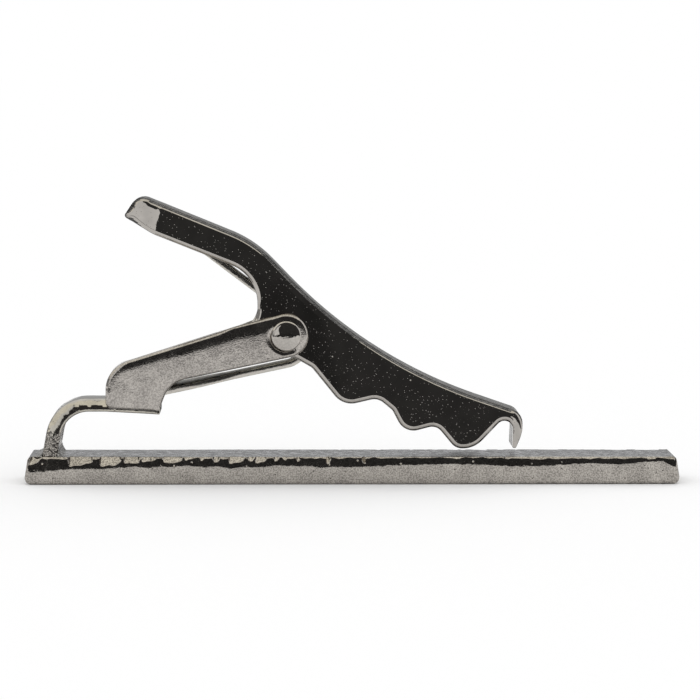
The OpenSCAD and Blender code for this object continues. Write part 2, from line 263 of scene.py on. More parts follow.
def finished(mesh, name, material, crease=50):
    """The piece as an object in metres, smooth but for edges sharper than the crease angle."""
    bmesh.ops.remove_doubles(mesh, verts=mesh.verts, dist=WELD)
    bmesh.ops.dissolve_degenerate(mesh, edges=mesh.edges, dist=SLIVER)
    bmesh.ops.recalc_face_normals(mesh, faces=mesh.faces)
    for face in mesh.faces:
        face.smooth = True
    for edge in mesh.edges:
        edge.smooth = not (edge.is_manifold and edge.calc_face_angle(0) > math.radians(crease))
    bmesh.ops.scale(mesh, vec=(MM, MM, MM), verts=mesh.verts)
    data = bpy.data.meshes.new(name)
    mesh.to_mesh(data)
    mesh.free()
    data.materials.append(material)
    piece = bpy.data.objects.new(name, data)
    bpy.context.scene.collection.objects.link(piece)
    return piece


CLOUD_SIZE = 1.3
CLOUD_RANGE = (0.35, 0.65)
FLECK_SIZE = 0.12
FLECK_RANGE = (0.42, 0.58)
STREAK_WAYS = (30, -30)
STREAK_RANGE = (0.23, 0.28)
GLOSS_SIZE = 0.6
GLOSS_RANGE = (0.3, 0.7)
PIT_FLOOR = 0.015
PIT_RIM = 0.07
SCRATCH_STRETCH = 10


def plated(name, colour, shade, gloss, layers, speckle=0.0, streaks=None, edge_tint=1.0):
    """Black nickel plating in two tones with uneven gloss.
    Each layer of its relief is (kind, size, depth) in millimetres. Pits may add the radius of their rims,
    and scratches add the angle that they run at. Speckle is the share of fine flecks in the tone.
    Streaks give the flecks' width and how many times longer they are; they run along two crossing ways.
    An edge tint below one dulls the metal where it is seen at a shallow angle."""
    material = bpy.data.materials.new(name)
    material.use_nodes = True
    nodes = material.node_tree.nodes
    links = material.node_tree.links
    shader = nodes["Principled BSDF"]
    shader.inputs["Metallic"].default_value = 1.0
    shader.inputs["Specular Tint"].default_value = (edge_tint, edge_tint, edge_tint, 1)
    place = nodes.new("ShaderNodeTexCoord")

    def stretched(angle, length):
        mapping = nodes.new("ShaderNodeMapping")
        mapping.vector_type = "TEXTURE"
        mapping.inputs["Rotation"].default_value = (0, 0, math.radians(angle))
        mapping.inputs["Scale"].default_value = (length, 1, 1)
        links.new(place.outputs["Object"], mapping.inputs["Vector"])
        return mapping.outputs["Vector"]

    def noise(size, detail, spot=None):
        texture = nodes.new("ShaderNodeTexNoise")
        texture.inputs["Scale"].default_value = 1 / (size * MM)
        texture.inputs["Detail"].default_value = detail
        links.new(spot or place.outputs["Object"], texture.inputs["Vector"])
        return texture.outputs["Fac"]

    def spread(value, low, high, to_low=0.0, to_high=1.0):
        steps = nodes.new("ShaderNodeMapRange")
        for socket, number in zip(("From Min", "From Max", "To Min", "To Max"), (low, high, to_low, to_high)):
            steps.inputs[socket].default_value = number
        links.new(value, steps.inputs["Value"])
        return steps.outputs["Result"]

    def product(value, other):
        times = nodes.new("ShaderNodeMath")
        times.operation = "MULTIPLY"
        links.new(value, times.inputs[0])
        links.new(other, times.inputs[1])
        return times.outputs[0]

    # A mix node's share is socket 0, its numbers are sockets 2 and 3, and its colours are 6 and 7.
    tone = spread(noise(CLOUD_SIZE, 5), *CLOUD_RANGE)
    if speckle:
        mottled = nodes.new("ShaderNodeMix")
        mottled.inputs[0].default_value = speckle
        links.new(tone, mottled.inputs[2])
        if streaks:
            ways = [noise(streaks[0], 3, stretched(angle, streaks[1])) for angle in STREAK_WAYS]
            flecks = spread(product(*ways), *STREAK_RANGE)
        else:
            flecks = spread(noise(FLECK_SIZE, 2), *FLECK_RANGE)
        links.new(flecks, mottled.inputs[3])
        tone = mottled.outputs[0]
    tones = nodes.new("ShaderNodeMix")
    tones.data_type = "RGBA"
    tones.inputs[6].default_value = (*shade, 1)
    tones.inputs[7].default_value = (*colour, 1)
    links.new(tone, tones.inputs[0])
    links.new(tones.outputs[2], shader.inputs["Base Color"])
    links.new(spread(noise(GLOSS_SIZE, 6), *GLOSS_RANGE, *gloss), shader.inputs["Roughness"])

    relief = None
    for kind, size, depth, *more in layers:
        if kind == "pits":
            cells = nodes.new("ShaderNodeTexVoronoi")
            cells.inputs["Scale"].default_value = 1 / (size * MM)
            links.new(place.outputs["Object"], cells.inputs["Vector"])
            rim = more[0] if more else PIT_RIM
            height = spread(cells.outputs["Distance"], PIT_FLOOR / size, rim / size)
        elif kind == "scratches":
            height = noise(size, 2, stretched(more[0], SCRATCH_STRETCH))
        elif kind == "lines":
            around = nodes.new("ShaderNodeAttribute")
            around.attribute_name = "around"
            rings = nodes.new("ShaderNodeMath")
            rings.operation = "SINE"
            turns = nodes.new("ShaderNodeMath")
            turns.operation = "MULTIPLY"
            turns.inputs[1].default_value = math.tau / (size * MM)
            links.new(around.outputs["Fac"], turns.inputs[0])
            links.new(turns.outputs[0], rings.inputs[0])
            height = rings.outputs[0]
        else:
            height = noise(size, 2 if kind == "waves" else 4)
        bump = nodes.new("ShaderNodeBump")
        bump.inputs["Distance"].default_value = depth * MM
        links.new(height, bump.inputs["Height"])
        if relief:
            links.new(relief, bump.inputs["Normal"])
        relief = bump.outputs["Normal"]
    links.new(relief, shader.inputs["Normal"])
    return material


bar_half = Vector((BAR_LENGTH / 2, BAR_WIDTH / 2))
bar_plan = even(rounded([
    (-bar_half.x, -bar_half.y, BAR_PLAN_CORNER), (bar_half.x, -bar_half.y, BAR_PLAN_CORNER),
    (bar_half.x, bar_half.y, BAR_PLAN_CORNER), (-bar_half.x, bar_half.y, BAR_PLAN_CORNER),
]), BAR_EDGE_SPACING)


def along(points, x):
    """The value at x on a line given by (x, value) points."""
    for (low, value), (high, next_value) in zip(points, points[1:]):
        if x <= high:
            return value + (next_value - value) * (x - low) / (high - low)
    return points[-1][1]


def facet_depth(x):
    """How far down the shoulder the polished facets reach at a place, as a share of its height."""
    depth = along(FACET_LINE, x)
    for left, right, deep_left, deep_right in FACETS:
        if left < x < right:
            inside = min(x - left, right - x) / FACET_SOFT
            deep = deep_left + (deep_right - deep_left) * (x - left) / (right - left)
            depth = max(depth, deep * min(1.0, inside) ** 0.5)
    return depth


def shouldered(x, seed):
    """An edge that leans in over its shoulder and then rolls over, as (step inward, drop) points."""
    height = along(SHOULDER, x)
    height += SHOULDER_RAGGED[1] * uneven(Vector((x / SHOULDER_RAGGED[0], 0, seed)))
    line = [(0.0, height)]
    inset = 0.0
    rise = (height - BAR_REAR_ROLL * BAR_REAR_ROLL_FROM) / SHOULDER_STEPS
    for k in range(SHOULDER_STEPS):
        share = (k + 0.5) / SHOULDER_STEPS
        ragged = FACET_RAGGED[1] * uneven(Vector((x / FACET_RAGGED[0], rise * k / FACET_RAGGED[0], seed + 5)))
        on_facet = max(0.0, min(1.0, (share - 1 + facet_depth(x) - ragged) / FACET_BLEND))
        lean = math.radians(along(ROUND_SIDE, share) * (1 - on_facet) + FACET_LEAN * on_facet)
        inset += rise * math.tan(lean)
        line.append((inset, height - rise * (k + 1)))
    last_drop = line[-1][1]
    scale = last_drop / (1 - math.sin(lean))
    for k in range(1, SHOULDER_ROLL_STEPS + 1):
        turn = lean + (math.pi / 2 - lean) * k / SHOULDER_ROLL_STEPS
        line.append((inset + scale * (math.cos(lean) - math.cos(turn)), scale * (1 - math.sin(turn))))
    return line


def wander(x, seed=0.0):
    """An uneven line between -1 and 1, as a cast and polished edge has."""
    waves = ((0.55, 0.45), (1.3, 0.3), (2.9, 0.25))
    return sum(share * math.sin(x * rate + seed * 7 * rate + seed) for rate, share in waves)


def soft_edge(roll, steps=6, fullness=2.0):
    """A rolled edge; a fullness below 2 makes it more of a chamfer."""
    power = 2 / fullness
    profile = []
    for k in range(steps + 1):
        turn = math.radians(90) * k / steps
        inset = roll * (1 - max(math.cos(turn), 0) ** power)
        profile.append((inset, roll * (1 - math.sin(turn) ** power)))
    return profile


def bar_edges(foot):
    """The rolls of all points round the bar: the side's own along the sides, a small even one at the ends."""
    result = []
    for spot, direction in zip(bar_plan, inward(bar_plan)):
        flank = abs(direction.y) ** FLANK_POWER
        if foot:
            side_line = soft_edge(BAR_FOOT_ROLL, SHOULDER_STEPS + SHOULDER_ROLL_STEPS)
        elif spot.y < 0:
            side_line = shouldered(spot.x, 1)
        else:
            side_line = shouldered(FAR_SHOULDER * spot.x, 2)
        end_line = soft_edge(BAR_END_ROLL, len(side_line) - 1)
        result.append([
            (inset * flank + end_inset * (1 - flank), drop * flank + end_drop * (1 - flank))
            for (inset, drop), (end_inset, end_drop) in zip(side_line, end_line)
        ])
    return result


def end_round(x, radius):
    """How much an end's rounding takes away at a place along the bar."""
    past = (abs(x) - bar_half.x + radius) / radius
    return radius * (1 - math.sqrt(1 - past * past)) if past > 0 else 0.0


def on_bar(p, z):
    """A place on the bar, with the ends leaning in towards the rear face."""
    lean = BAR_END_LEAN * max(0.0, (z - BAR_END_LEAN_FROM) / (BAR_THICKNESS - BAR_END_LEAN_FROM))
    fade = max(0.0, 1 - (bar_half.x - abs(p.x)) / BAR_END_LEAN_RUN)
    return (p.x - math.copysign(lean * fade, p.x), p.y, z)


def rear_place(p, drop):
    return on_bar(p, BAR_THICKNESS - drop - end_round(p.x, BAR_END_REAR_ROUND))


def front_place(p, drop):
    return on_bar(p, drop + end_round(p.x, BAR_END_FRONT_ROUND))


bar_mesh = bmesh.new()
rear_edge, rear_flat = rolled_rings(bar_mesh, bar_plan, bar_edges(False), rear_place)
front_edge, front_flat = rolled_rings(bar_mesh, bar_plan, bar_edges(True), front_place)
bridge(bar_mesh, rear_edge[0], front_edge[0])
fill(bar_mesh, rear_edge[-1], rear_flat, rear_place, BAR_FACE_SPACING)
fill(bar_mesh, front_edge[-1], front_flat, front_place, BAR_FACE_SPACING)
bar_plating = plated("bar_plating", BAR_COLOUR, BAR_SHADE_COLOUR, (0.04, 0.16), [
    ("waves", 0.5, 0.008), ("waves", 1.8, 0.015), ("grain", 0.12, 0.007), ("pits", 0.7, 0.05, 0.09),
], speckle=0.7)
bar_piece = finished(bar_mesh, "bar_cast", bar_plating, crease=40)
ground_marks = [
    ("scratches", size, depth, way * angle) for size, depth, angle in GROUND_MARKS for way in (1, -1)
]
# The rear face's streaked tone is partly the ground marks' own colour and partly painted glints: light flecks
# where the marks would catch the light.
ground_face_and_painted_glints = plated("ground_rear_face_and_painted_glints", GROUND_AND_GLINT_COLOUR, GROUND_SHADE_COLOUR, (0.12, 0.26), [
    ("waves", 1.2, 0.02), *ground_marks,
], speckle=0.8, streaks=(0.26, 3))
bar_piece.data.materials.append(ground_face_and_painted_glints)
for polygon in bar_piece.data.polygons:
    if polygon.normal.z > GROUND_FACES_UP and polygon.center.z > (BAR_THICKNESS - GROUND_WITHIN) * MM:
        polygon.material_index = 1
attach(bar_piece, "clip_base")
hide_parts("bar")

# Post
# The post is a cast leg that rises from the bar and bends over into the tongue.
# It is soldered to the bar's rear face, and the tongue runs between the frame's cheeks.
POST_WIDTH = 4.76
POST_EDGE_ROLL = 0.2
POST_SPACING = 0.16
FLAT_COARSER = 1.6
ROLL_SHARE = 0.85
ROLL_RISE = 0.01
POST_SHOULDER = 0.55
POST_SHOULDER_WANDER = 0.25
POST_SHOULDER_LEANS = [(3.8, 15), (6.4, 42)]
POST_LEAN_BACK = math.tan(math.radians(5.5))
POST_LEAN_MOST = 0.4
POST_LEAN_TOP = 6.6
POST_COLOUR = (0.53, 0.50, 0.44)
POST_SHADE_COLOUR = (0.38, 0.36, 0.32)
POST_ROUGH_BELOW = 4.3
POST_ROUGH_WANDER = 0.3
POST_ROUGH_SHADE = (0.10, 0.094, 0.088)
POST_OUTLINE = [
    (-24.79, 2.3, 0), (-24.129, 6.05, 2.35), (-20.689, 6.05, 0), (-16.189, 5.814, 0.1),
    (-16.135, 6.853, 0.1), (-20.689, 7.09, 0), (-25.205, 7.09, 3.39), (-26.05, 2.3, 0),
]


def capped(loop, rolls):
    """Rolls cut down where the outline turns too tightly to carry them."""
    count = len(loop)
    room = []
    for i in range(count):
        into = loop[i] - loop[i - 1]
        out = loop[(i + 1) % count] - loop[i]
        turn = math.atan2(into.x * out.y - into.y * out.x, into.dot(out))
        radius = (into.length + out.length) / 2 / turn if turn > 1e-3 else 1e3
        room.append(radius * ROLL_SHARE)
    result = []
    for i in range(count):
        nearby = min(room[(i + k) % count] for k in (-2, -1, 0, 1, 2))
        result.append(min(rolls[i], nearby))
    for _ in range(4):
        result = [
            min(result[i], (result[i - 1] + result[i] + result[(i + 1) % count]) / 3 + ROLL_RISE)
            for i in range(count)
        ]
    return result


def distance_from(path):
    """How far a place is from a path."""
    start = np.array([p[:] for p in path[:-1]])
    run = np.array([p[:] for p in path[1:]]) - start
    length = np.maximum((run * run).sum(1), 1e-12)

    def measure(p):
        spot = np.array(p[:])
        share = np.clip(((spot - start) * run).sum(1) / length, 0, 1)
        return float(np.hypot(*(start + run * share[:, None] - spot).T).min())

    return measure


def slab(mesh, corners, width, roll, spacing, crown):
    """A piece of one width whose outline lies in X and Z, with its edges rolled on both sides."""
    loop = even(rounded(corners), spacing)
    profiles = [soft_edge(r) for r in capped(loop, [roll] * len(loop))]
    edges = []
    for side in (-1, 1):
        def place(p, drop, side=side):
            return (p.x, side * (width / 2 - drop - crown(p)), p.y)

        rings, flat = rolled_rings(mesh, loop, profiles, place)
        fill(mesh, rings[-1], flat, place, spacing * FLAT_COARSER)
        edges.append(rings[0])
    bridge(mesh, edges[0], edges[1])


post_outer_side = [(-16.1, 7.09, 0), *POST_OUTLINE[5:], (-26.3, 0.9, 0)]
from_outer_side = distance_from(rounded(post_outer_side, closed=False))


def post_crown(p):
    """The cast leg's sides slope off towards its outer side, unevenly, and draw in a little as it rises."""
    run = POST_SHOULDER * (1 + POST_SHOULDER_WANDER * wander(p.x * 2 + p.y * 2.7, 3))
    slope = math.tan(math.radians(along(POST_SHOULDER_LEANS, max(p.y, POST_SHOULDER_LEANS[0][0]))))
    lean = POST_LEAN_BACK * max(0.0, min(p.y, POST_LEAN_TOP) - BAR_THICKNESS)
    return slope * max(0.0, run - from_outer_side(p)) + min(lean, POST_LEAN_MOST)


post_mesh = bmesh.new()
slab(post_mesh, POST_OUTLINE, POST_WIDTH, POST_EDGE_ROLL, POST_SPACING, post_crown)
post_plating = plated("post_plating", POST_COLOUR, POST_SHADE_COLOUR, (0.04, 0.12), [
    ("waves", 0.6, 0.02), ("grain", 0.12, 0.004), ("pits", 0.9, 0.06, 0.1),
], speckle=0.3)
post_piece = finished(post_mesh, "post_cast", post_plating, crease=30)
rough_cast = plated("rough_casting", BAR_COLOUR, POST_ROUGH_SHADE, (0.1, 0.25), [
    ("waves", 0.22, 0.09), ("grain", 0.1, 0.02), ("pits", 0.5, 0.08, 0.1),
], speckle=0.8)
post_piece.data.materials.append(rough_cast)
for polygon in post_piece.data.polygons:
    if polygon.center.z + POST_ROUGH_WANDER * MM * wander(polygon.center.x / MM * 9) < POST_ROUGH_BELOW * MM:
        polygon.material_index = 1
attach(post_piece, "clip_base")
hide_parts("post")

# Foot solder
# Solder runs along both sides of the post's foot and is plated over with the rest.
# It is lumpy, as it set where it ran.
SOLDER_OUTER = (0.75, 0.32)
SOLDER_INNER = (0.5, 0.75)
SOLDER_COLOUR = (0.42, 0.405, 0.38)
SOLDER_SHADE_COLOUR = (0.10, 0.097, 0.09)
FOOT_OUTER_X = -26.05
FOOT_INNER_X = -24.79
FOOT_LEAN = math.radians(10)
SOLDER_COLUMNS = 29
SOLDER_ROWS = 8
SOLDER_FULL = 0.86
SOLDER_LONG_SWELL = 0.16
SOLDER_LONG_RATE = 7.1
SOLDER_SHORT_SWELL = 0.10
SOLDER_SHORT_RATE = 17.3
SOLDER_END = 0.72
SOLDER_END_RISE = 6
SOLDER_HOLLOW = 0.42


def fillet(mesh, foot, reach, height, direction, width, lean, seed):
    """A hollow run of solder in a corner, swelling and shrinking along its length."""
    grid = []
    for column in range(SOLDER_COLUMNS):
        share = column / (SOLDER_COLUMNS - 1)
        y = (share - 0.5) * width
        long_swell = SOLDER_LONG_SWELL * math.sin(SOLDER_LONG_RATE * y / width * 2 + seed)
        short_swell = SOLDER_SHORT_SWELL * math.sin(SOLDER_SHORT_RATE * share + 2 * seed)
        end = min(1.0, SOLDER_END_RISE * min(share, 1 - share) + SOLDER_END)
        size = min(1.0, (1 + long_swell + short_swell) * SOLDER_FULL) * end
        top = Vector((foot[0] + height * size * math.tan(lean), foot[1] + height * size))
        toe = Vector((foot[0] + direction * reach * size, foot[1]))
        knee = Vector((foot[0] + direction * reach * SOLDER_HOLLOW, foot[1] + height * SOLDER_HOLLOW))
        line = []
        for row in range(SOLDER_ROWS + 1):
            s = row / SOLDER_ROWS
            spot = (1 - s) ** 2 * top + 2 * s * (1 - s) * knee + s * s * toe
            line.append(mesh.verts.new((spot.x, y, spot.y)))
        line.append(mesh.verts.new((foot[0], y, foot[1])))
        grid.append(line)
    for line, other in zip(grid, grid[1:]):
        bridge(mesh, line, other)
    mesh.faces.new(grid[0])
    mesh.faces.new(grid[-1][::-1])


solder_mesh = bmesh.new()
fillet(solder_mesh, (FOOT_OUTER_X, BAR_THICKNESS), *SOLDER_OUTER, -1, POST_WIDTH, FOOT_LEAN, 0.4)
fillet(solder_mesh, (FOOT_INNER_X, BAR_THICKNESS), *SOLDER_INNER, 1, POST_WIDTH, FOOT_LEAN, 2.1)
solder_skin = plated("solder_skin", SOLDER_COLOUR, SOLDER_SHADE_COLOUR, (0.08, 0.22), [
    ("waves", 0.24, 0.1), ("grain", 0.1, 0.015),
], speckle=0.8)
solder_piece = finished(solder_mesh, "foot_solder_run", solder_skin)
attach(solder_piece, "clip_base")
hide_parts("foot_solder")

# Clip frame
# The frame is stamped from thin sheet and folded into a channel round the tongue.
# Its two cheeks end in eyes that carry the rivet; its edges are tumbled and plated.
PIVOT = Vector((-5.589, 12.5))
FRAME_WIDTH = 5.7
FRAME_SHEET = 0.45
FRAME_BENDS = (0.36, 0.58)
FRAME_RIM = 0.24
FRAME_INNER_RIM = 0.1
FLAT_RING = 1.12
FRAME_RIM_EASE = 2.0
FRAME_SPACING = 0.16
RIM_STEPS = 7
RIM_FULLNESS = 1.6
LINING_STEPS = 3
EYE_RADIUS = 1.85
EYE_STEPS = 60
FRAME_BORE = 0.82
FRAME_TOE = (-20.689, 6.42, 0.55)
FRAME_HEEL = (-16.239, 6.187, 0.12)
FRAME_NECK = (-15.328, 8.588, 2.4)
FRAME_SHOULDER = (-20.689, 9.633, 2.3)
WALL_END_X = -9.922
WALL_FOOT_Z = 8.19
EDGE_SPACING = 0.12
WALL_SPACING = 0.3
LEAN_RUN = [(0, 0.6), (0.12, 0.72), (0.3, 0.84), (0.48, 0.95), (0.72, 1.0), (0.88, 1.2), (1.0, 1.53)]
LEAN_WANDER = 0.06
LEAN_SLOPE = math.tan(math.radians(9))
CHEEK_TILT = math.tan(math.radians(1.3))
EYE_DISH = 0.06
EYE_DISH_FROM = 1.2
EYE_DISH_RUN = 1.5
DIMPLE_INNER = 1.2
DIMPLE_OUTER = 1.8
DIMPLE_FALL = 0.6
DIMPLE_WAY = (0.6, 0.8)
TOP_LEAN = math.tan(math.radians(4.6))
TOP_LEAN_DEPTH = 1.9
TOP_LEAN_SHARE = [(-21.0, 0.0), (-20.4, 0.2), (-18.8, 1.0), (-9.5, 1.0), (-6.5, 0.0), (0.0, 0.0)]
FRAME_COLOUR = (0.50, 0.47, 0.435)
FRAME_SHADE_COLOUR = (0.27, 0.252, 0.235)


def touching(point, centre, radius, side):
    """Where the line from a point touches a circle, as a bearing."""
    run = point - centre
    return math.atan2(run.y, run.x) - side * math.acos(radius / run.length)


def shifted(path, distance):
    """A path moved to its left."""
    result = []
    for i, point in enumerate(path):
        into = (path[max(i, 1)] - path[max(i, 1) - 1]).normalized()
        out = (path[min(i, len(path) - 2) + 1] - path[min(i, len(path) - 2)]).normalized()
        side = (left_of(into) + left_of(out)).normalized()
        result.append(point + side * distance / side.dot(left_of(into)))
    return result


def nearest(loop, spot):
    return min(range(len(loop)), key=lambda i: (loop[i] - spot).length)


def channel(mesh, loop, start, end, inner, width, sheet, rolls, inner_roll, swell, spacing, bore):
    """A folded channel: two cheeks of the loop's outline, joined by a wall along the loop from start to end.
    The inner path is the wall's inside, and its ends lie on the loop at start and end.
    A narrow flat ring lies inside each roll, so that the roll ends in a clean line.
    The mesh's around value is the distance round the section, counted from the cheek's flat part."""
    count = len(loop)
    wall = [(start + k) % count for k in range((end - start) % count + 1)]
    rim = [(end + k) % count for k in range((start - end) % count + 1)]
    half = width / 2
    on_wall = set(wall)
    profiles = [
        soft_edge(r, RIM_STEPS, 2.0 if i in on_wall else RIM_FULLNESS) + [(r * FLAT_RING, 0.0)]
        for i, r in enumerate(capped(loop, rolls))
    ]
    lining = [loop[i] for i in rim] + inner[1:-1]
    lining_rolls = [inner_roll] * len(rim) + [0.0] * (len(inner) - 2)
    lining_rolls[0] = 0.0
    lining_rolls[len(rim) - 1] = 0.0
    lining_profiles = [soft_edge(r, LINING_STEPS) for r in capped(lining, lining_rolls)]
    outer_edges = []
    inner_walls = []
    around = mesh.verts.layers.float.new("around")
    for side in (-1, 1):
        def outside(p, drop, side=side):
            return (p.x, side * (half + swell(p) - drop), p.y)

        def inside(p, drop, side=side):
            return (p.x, side * (half - sheet + swell(p, True) + drop), p.y)

        rings, flat = rolled_rings(mesh, loop, profiles, outside)
        outer_bore = fill(mesh, rings[-1], flat, outside, spacing, (PIVOT, bore))
        inner_rings, inner_flat = rolled_rings(mesh, lining, lining_profiles, inside)
        inner_bore = fill(mesh, inner_rings[-1], inner_flat, inside, spacing * 2, (PIVOT, bore))
        bridge(mesh, outer_bore, inner_bore)
        bridge(mesh, [rings[0][i] for i in rim], inner_rings[0][:len(rim)], closed=False)
        outer_edges.append([rings[0][i] for i in wall])
        for k, ring in enumerate(rings):
            for vert, profile in zip(ring, profiles):
                vert[around] = (profile[-2][0] - profile[k][0] + profile[k][1]) * MM
        inner_walls.append([inner_rings[0][len(rim) - 1]] + inner_rings[0][len(rim):] + [inner_rings[0][0]])
    columns = []
    lines = [loop[i] for i in wall]
    for y in (-(half - sheet), -half / 3, half / 3, half - sheet):
        columns.append([mesh.verts.new((p.x, y, p.y)) for p in lines])
        for vert, i in zip(columns[-1], wall):
            vert[around] = (profiles[i][-2][0] + half - abs(y)) * MM
    for line, other in zip([outer_edges[0], *columns], [*columns, outer_edges[1]]):
        bridge(mesh, line, other, closed=False)
    middle = [mesh.verts.new((p.x, 0, p.y)) for p in inner]
    bridge(mesh, inner_walls[0], middle, closed=False)
    bridge(mesh, middle, inner_walls[1], closed=False)


neck = Vector(FRAME_NECK[:2])
shoulder = Vector(FRAME_SHOULDER[:2])
eye_from = touching(neck, PIVOT, EYE_RADIUS, -1)
eye_to = touching(shoulder, PIVOT, EYE_RADIUS, 1)
if eye_to < eye_from:
    eye_to += math.tau
eye_turns = [eye_from + (eye_to - eye_from) * k / EYE_STEPS for k in range(EYE_STEPS + 1)]
eye = [PIVOT + EYE_RADIUS * Vector((math.cos(turn), math.sin(turn))) for turn in eye_turns]
frame_corners = [(*eye[-1], 0), FRAME_SHOULDER, FRAME_TOE, FRAME_HEEL, FRAME_NECK, (*eye[0], 0)]
frame_loop = even(rounded(frame_corners) + eye[1:-1], EDGE_SPACING)
top_slope = (eye[-1].y - shoulder.y) / (eye[-1].x - shoulder.x)
wall_end = Vector((WALL_END_X, shoulder.y + (WALL_END_X - shoulder.x) * top_slope))
wall_start = nearest(frame_loop, wall_end)
wall_stop = nearest(frame_loop, Vector((FRAME_SHOULDER[0], WALL_FOOT_Z)))
wall_corners = [(*frame_loop[wall_start], 0), FRAME_SHOULDER, (*frame_loop[wall_stop], 0)]
wall_line = even(rounded(wall_corners, closed=False), WALL_SPACING, closed=False)
frame_inner = [frame_loop[wall_start], *shifted(wall_line, FRAME_SHEET), frame_loop[wall_stop]]
from_frame_top = distance_from([PIVOT + Vector((2, 3)), eye[-1], *wall_line])


def along_frame(x):
    """How far a place lies from the frame's shoulder to the rivet, from 0 to 1."""
    return max(0.0, min(1.0, (x - FRAME_SHOULDER[0]) / (PIVOT.x - FRAME_SHOULDER[0])))


def frame_swell(p, inside=False):
    """The cheeks lean in under the folded edge, more so towards the eye, and are drawn in round the rivet."""
    if inside:
        return 0.0
    below = from_frame_top(p)
    share = along_frame(p.x)
    run = along(LEAN_RUN, share) * (1 + LEAN_WANDER * wander(p.x * 1.5, 5))
    lean = LEAN_SLOPE * max(0.0, run - below) ** 2 / (2 * run)
    arm = p - PIVOT
    out = arm.length
    dish = 0.0
    if p.x > PIVOT.x - EYE_DISH_RUN:
        dish = max(0.0, min(1.0, (out - EYE_DISH_FROM) / (EYE_RADIUS - EYE_DISH_FROM)))
    facing = max(0.0, -(arm.x * DIMPLE_WAY[0] + arm.y * DIMPLE_WAY[1]) / max(out, 1e-6))
    dimple = DIMPLE_FALL * max(0.0, DIMPLE_OUTER - max(out, DIMPLE_INNER)) ** 2 * facing
    return -lean - CHEEK_TILT * max(0.0, below - run) - EYE_DISH * dish ** 2 - dimple


def blended_rolls(loop, start, end, wall_roll, rim_roll, run):
    """Rolls along a loop: the wall's own between start and end, easing into the rim's."""
    count = len(loop)
    gone = [0.0]
    for i in range(1, count):
        gone.append(gone[-1] + (loop[i] - loop[i - 1]).length)
    total = gone[-1] + (loop[0] - loop[-1]).length
    wall_length = (gone[end] - gone[start]) % total
    result = []
    for i in range(count):
        place = (gone[i] - gone[start]) % total
        inside = min(place, wall_length - place)
        ease = max(0.0, min(1.0, inside / run))
        result.append(rim_roll + (wall_roll(loop[i]) - rim_roll) * ease * ease * (3 - 2 * ease))
    return result


def frame_bend(p):
    """The radius of the folded edge, tight at the shoulder and rounder towards the eye."""
    return FRAME_BENDS[0] + (FRAME_BENDS[1] - FRAME_BENDS[0]) * along_frame(p.x)


frame_mesh = bmesh.new()
channel(
    frame_mesh, frame_loop, wall_start, wall_stop, frame_inner, FRAME_WIDTH, FRAME_SHEET,
    blended_rolls(frame_loop, wall_start, wall_stop, frame_bend, FRAME_RIM, FRAME_RIM_EASE),
    FRAME_INNER_RIM, frame_swell, FRAME_SPACING, FRAME_BORE,
)
# The clip leans back a little on its post, so the frame's top is lower on the far side.
for vert in frame_mesh.verts:
    near_top = 1 - from_frame_top(Vector((vert.co.x, vert.co.z))) / TOP_LEAN_DEPTH
    vert.co.z -= TOP_LEAN * vert.co.y * max(0.0, near_top) * along(TOP_LEAN_SHARE, vert.co.x)
frame_plating = plated("frame_plating", FRAME_COLOUR, FRAME_SHADE_COLOUR, (0.05, 0.14), [
    ("waves", 2.4, 0.015), ("grain", 0.12, 0.006), ("pits", 1.6, 0.02),
], speckle=0.7)
frame_piece = finished(frame_mesh, "clip_frame_stamped", frame_plating)
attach(frame_piece, "clip_base")
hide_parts("clip_frame")

# Frame solder
# A lump of solder fills the corner on top of the tongue, between the frame's cheeks.
# It holds the frame on the post and shows at the open end of the channel.
FRAME_SOLDER_REACH = 1.1
FRAME_SOLDER_HEIGHT = 0.5
FRAME_SOLDER_GAP = 0.02
TONGUE_TOP_Z = 7.09
FRAME_INNER_WIDTH = FRAME_WIDTH - 2 * FRAME_SHEET
frame_solder_mesh = bmesh.new()
fillet(
    frame_solder_mesh, (FRAME_SHOULDER[0], TONGUE_TOP_Z), FRAME_SOLDER_REACH, FRAME_SOLDER_HEIGHT, 1,
    FRAME_INNER_WIDTH - 2 * FRAME_SOLDER_GAP, 0.0, 1.2,
)
frame_solder_piece = finished(frame_solder_mesh, "frame_solder_lump", solder_skin)
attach(frame_solder_piece, "clip_base")
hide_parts("frame_solder")

# Leaf spring
# The spring is one strip of hard steel, bent into a U round the rivet and plated.
# Its lower leg bears on the tongue, and its upper leg pushes the thumb tab up.
SPRING_WIDTH = 2.7
SPRING_FOOT_WIDTH = 4.6
SPRING_TAPER = (-13.729, -9.567)
SPRING_THICKNESS = 0.5
SPRING_EDGE = 0.07
SPRING_EDGE_STEPS = 4
SPRING_SPACING = 0.35
SPRING_SIDE_FACING = 0.85
SPRING_PATH = [(-18.200, 7.24, 0), (-0.955, 10.907, 2.1), (-16.402, 22.506, 0)]
SPRING_COLOUR = (0.50, 0.48, 0.445)
# The flats' two pale tones are painted light: they stand in for the light that the cheeks keep off the strip.
# The streaks in them are the rolled steel's own.
FLAT_PAINTED_LIGHT_COLOUR = (0.85, 0.83, 0.70)
FLAT_PAINTED_LIGHT_LOW_COLOUR = (0.42, 0.41, 0.345)

spring_line = even(rounded(SPRING_PATH, closed=False, sag=0.001), SPRING_SPACING, closed=False)


def spring_half_width(p):
    """Half the strip's width: wide on the lower leg, narrow where it passes between the lever's cheeks."""
    share = max(0.0, min(1.0, (SPRING_TAPER[1] - p.x) / (SPRING_TAPER[1] - SPRING_TAPER[0])))
    if p.y > PIVOT.y:
        share = 0.0
    return SPRING_WIDTH / 2 + (SPRING_FOOT_WIDTH - SPRING_WIDTH) / 2 * share * share * (3 - 2 * share)


